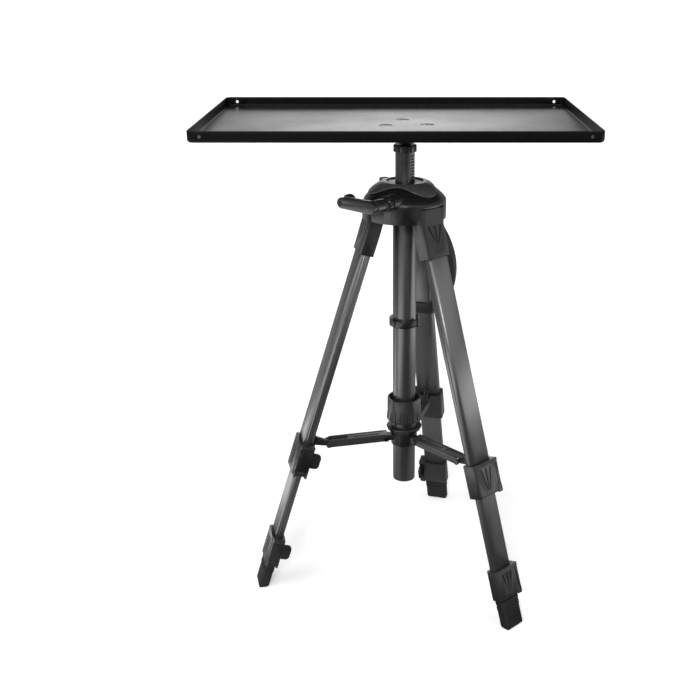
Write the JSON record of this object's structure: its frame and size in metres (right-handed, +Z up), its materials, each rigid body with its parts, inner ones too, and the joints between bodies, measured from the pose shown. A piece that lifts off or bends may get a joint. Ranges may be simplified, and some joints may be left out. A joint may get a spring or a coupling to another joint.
{
  "type": "projector tripod stand",
  "caption": "Adjustable projector stand: a shallow black metal tray on a crank-raised geared column over a folding tripod with telescopic legs, flip locks and a brace.",
  "frame": {"origin": "on the floor, below the middle of the box that the stand fills", "axes": "+Z up, +X towards the tray's right end, +Y from the tray's front edge to its back edge"},
  "size_m": [0.38, 0.3016, 0.5256],
  "materials": {
    "black_plastic": "matt black moulded plastic",
    "grey_plastic": "dark grey moulded plastic with a fine grain",
    "leg_aluminium": "titanium-grey anodised, drawn along its length",
    "column_aluminium": "dark anodised, drawn along its length",
    "tray_paint": "satin black powder coat",
    "steel": "bright zinc-plated steel",
    "dark_steel": "black oxide or black paint on steel",
    "rubber": "black rubber",
    "level_glass": "clear vial with green fluid"
  },
  "bodies": {
    "base": {"head_body": "black_plastic", "head_cover": "grey_plastic", "column_tube": "column_aluminium", "column_bush": "grey_plastic", "bubble_level": "level_glass", "column_clip": "black_plastic", "hinge_pin_right": "steel", "hinge_pin_back": "steel", "hinge_pin_left": "steel"},
    "column": {"geared_column": "column_aluminium", "column_collar": "dark_steel", "tray_stud": "steel"},
    "crank": {"crank_shaft": "steel", "crank_arm": "grey_plastic", "knob_pin": "steel"},
    "crank_knob": {"crank_knob": "black_plastic"},
    "crank_lock": {"crank_lock_nut": "black_plastic"},
    "tray": {"tray_pan": "tray_paint", "tray_plate": "dark_steel", "tray_screw_right": "dark_steel", "tray_screw_back": "dark_steel", "tray_screw_left": "dark_steel"},
    "tray_nut": {"tray_lock_nut": "dark_steel"},
    "brace": {"brace_hub": "black_plastic", "arm_pin_right": "steel", "arm_pin_back": "steel", "arm_pin_left": "steel"},
    "brace_lock": {"brace_lock_collar": "grey_plastic"},
    "arm_right": {"brace_arm_right": "dark_steel"},
    "leg_right": {"leg_fitting_right": "grey_plastic", "upper_tube_right": "leg_aluminium", "upper_lock_right": "grey_plastic"},
    "middle_right": {"middle_tube_right": "leg_aluminium", "lower_lock_right": "grey_plastic"},
    "lower_right": {"lower_tube_right": "leg_aluminium", "foot_right": "rubber"},
    "upper_lever_right": {"upper_lever_right": "black_plastic"},
    "lower_lever_right": {"lower_lever_right": "black_plastic"},
    "arm_back": {"brace_arm_back": "dark_steel"},
    "leg_back": {"leg_fitting_back": "grey_plastic", "upper_tube_back": "leg_aluminium", "upper_lock_back": "grey_plastic", "carry_handle": "black_plastic", "handle_band": "grey_plastic"},
    "middle_back": {"middle_tube_back": "leg_aluminium", "lower_lock_back": "grey_plastic"},
    "lower_back": {"lower_tube_back": "leg_aluminium", "foot_back": "rubber"},
    "upper_lever_back": {"upper_lever_back": "black_plastic"},
    "lower_lever_back": {"lower_lever_back": "black_plastic"},
    "arm_left": {"brace_arm_left": "dark_steel"},
    "leg_left": {"leg_fitting_left": "grey_plastic", "upper_tube_left": "leg_aluminium", "upper_lock_left": "grey_plastic"},
    "middle_left": {"middle_tube_left": "leg_aluminium", "lower_lock_left": "grey_plastic"},
    "lower_left": {"lower_tube_left": "leg_aluminium", "foot_left": "rubber"},
    "upper_lever_left": {"upper_lever_left": "black_plastic"},
    "lower_lever_left": {"lower_lever_left": "black_plastic"}
  },
  "joints": [
    {"name": "column_slide", "type": "slide", "parent": "base", "child": "column", "axis": [0, 0, 1], "range_m": [-0.024, 0.18]},
    {"name": "crank_turn", "type": "hinge", "parent": "base", "child": "crank", "pos_m": [0.02089, -0.02775, 0.4433], "axis": [-0.6428, -0.766, 0], "range_deg": [-1719.4, 229.7]},
    {"name": "crank_knob_spin", "type": "hinge", "parent": "crank", "child": "crank_knob", "pos_m": [-0.04955, -0.05258, 0.4433], "axis": [-0.6428, -0.766, 0], "continuous": true},
    {"name": "crank_lock_turn", "type": "hinge", "parent": "base", "child": "crank_lock", "pos_m": [0.02089, -0.02775, 0.4433], "axis": [-0.6428, -0.766, 0], "range_deg": [0, 90]},
    {"name": "tray_turn", "type": "hinge", "parent": "column", "child": "tray", "pos_m": [0.0095, -0.0182, 0], "axis": [0, 0, 1], "continuous": true},
    {"name": "tray_nut_turn", "type": "hinge", "parent": "column", "child": "tray_nut", "pos_m": [0.0095, -0.0182, 0], "axis": [0, 0, 1], "range_deg": [-120, 0]},
    {"name": "brace_slide", "type": "slide", "parent": "base", "child": "brace", "axis": [0, 0, 1], "range_m": [0, 0.05944]},
    {"name": "brace_lock_turn", "type": "hinge", "parent": "brace", "child": "brace_lock", "pos_m": [0.0095, -0.0182, 0.16849], "axis": [0, 0, 1], "range_deg": [0, 90]},
    {"name": "leg_fold_right", "type": "hinge", "parent": "base", "child": "leg_right", "pos_m": [0.03096, -0.04057, 0.4287], "axis": [0.7218, 0.6921, 0], "range_deg": [0, 15.21]},
    {"name": "arm_fold_right", "type": "hinge", "parent": "brace", "child": "arm_right", "pos_m": [0.02473, -0.03408, 0.16849], "axis": [0.7218, 0.6921, 0], "range_deg": [0, 94.33]},
    {"name": "middle_slide_right", "type": "slide", "parent": "leg_right", "child": "middle_right", "axis": [0.2104, -0.2194, -0.9527], "range_m": [-0.076, 0.12]},
    {"name": "lower_slide_right", "type": "slide", "parent": "middle_right", "child": "lower_right", "axis": [0.2104, -0.2194, -0.9527], "range_m": [0, 0.185]},
    {"name": "upper_lever_turn_right", "type": "hinge", "parent": "leg_right", "child": "upper_lever_right", "pos_m": [0.10759, -0.09303, 0.14385], "axis": [-0.6594, 0.6876, -0.304], "range_deg": [0, 110]},
    {"name": "lower_lever_turn_right", "type": "hinge", "parent": "middle_right", "child": "lower_lever_right", "pos_m": [0.13092, -0.1191, 0.0343], "axis": [-0.6594, 0.6876, -0.304], "range_deg": [0, 110]},
    {"name": "leg_fold_back", "type": "hinge", "parent": "base", "child": "leg_back", "pos_m": [0.01815, 0.01157, 0.4287], "axis": [-0.9603, 0.279, 0], "range_deg": [0, 15.21]},
    {"name": "arm_fold_back", "type": "hinge", "parent": "brace", "child": "arm_back", "pos_m": [0.01564, 0.00293, 0.16849], "axis": [-0.9603, 0.279, 0], "range_deg": [0, 94.33]},
    {"name": "middle_slide_back", "type": "slide", "parent": "leg_back", "child": "middle_back", "axis": [0.0848, 0.292, -0.9527], "range_m": [-0.076, 0.12]},
    {"name": "lower_slide_back", "type": "slide", "parent": "middle_back", "child": "lower_back", "axis": [0.0848, 0.292, -0.9527], "range_m": [0, 0.185]},
    {"name": "upper_lever_turn_back", "type": "hinge", "parent": "leg_back", "child": "upper_lever_back", "pos_m": [0.02526, 0.10417, 0.14385], "axis": [-0.2658, -0.9148, -0.304], "range_deg": [0, 110]},
    {"name": "lower_lever_turn_back", "type": "hinge", "parent": "middle_back", "child": "lower_lever_back", "pos_m": [0.03617, 0.13741, 0.0343], "axis": [-0.2658, -0.9148, -0.304], "range_deg": [0, 110]},
    {"name": "leg_fold_left", "type": "hinge", "parent": "base", "child": "leg_left", "pos_m": [-0.0206, -0.02559, 0.4287], "axis": [0.2385, -0.9711, 0], "range_deg": [0, 15.21]},
    {"name": "arm_fold_left", "type": "hinge", "parent": "brace", "child": "arm_left", "pos_m": [-0.01187, -0.02345, 0.16849], "axis": [0.2385, -0.9711, 0], "range_deg": [0, 94.33]},
    {"name": "middle_slide_left", "type": "slide", "parent": "leg_left", "child": "middle_left", "axis": [-0.2953, -0.0725, -0.9527], "range_m": [-0.076, 0.12]},
    {"name": "lower_slide_left", "type": "slide", "parent": "middle_left", "child": "lower_left", "axis": [-0.2953, -0.0725, -0.9527], "range_m": [0, 0.185]},
    {"name": "upper_lever_turn_left", "type": "hinge", "parent": "leg_left", "child": "upper_lever_left", "pos_m": [-0.10436, -0.06573, 0.14385], "axis": [0.9252, 0.2272, -0.304], "range_deg": [0, 110]},
    {"name": "lower_lever_turn_left", "type": "hinge", "parent": "middle_left", "child": "lower_lever_left", "pos_m": [-0.1386, -0.0729, 0.0343], "axis": [0.9252, 0.2272, -0.304], "range_deg": [0, 110]}
  ],
  "couplings": [
    {"joint": "crank_turn", "follows": "column_slide", "rad_per_m": -166.67},
    {"joint": "leg_fold_right", "follows": "brace_slide", "rad_per_m": 4.4632},
    {"joint": "arm_fold_right", "follows": "brace_slide", "rad_per_m": 27.695},
    {"joint": "leg_fold_back", "follows": "brace_slide", "rad_per_m": 4.4632},
    {"joint": "arm_fold_back", "follows": "brace_slide", "rad_per_m": 27.695},
    {"joint": "leg_fold_left", "follows": "brace_slide", "rad_per_m": 4.4632},
    {"joint": "arm_fold_left", "follows": "brace_slide", "rad_per_m": 27.695}
  ]
}
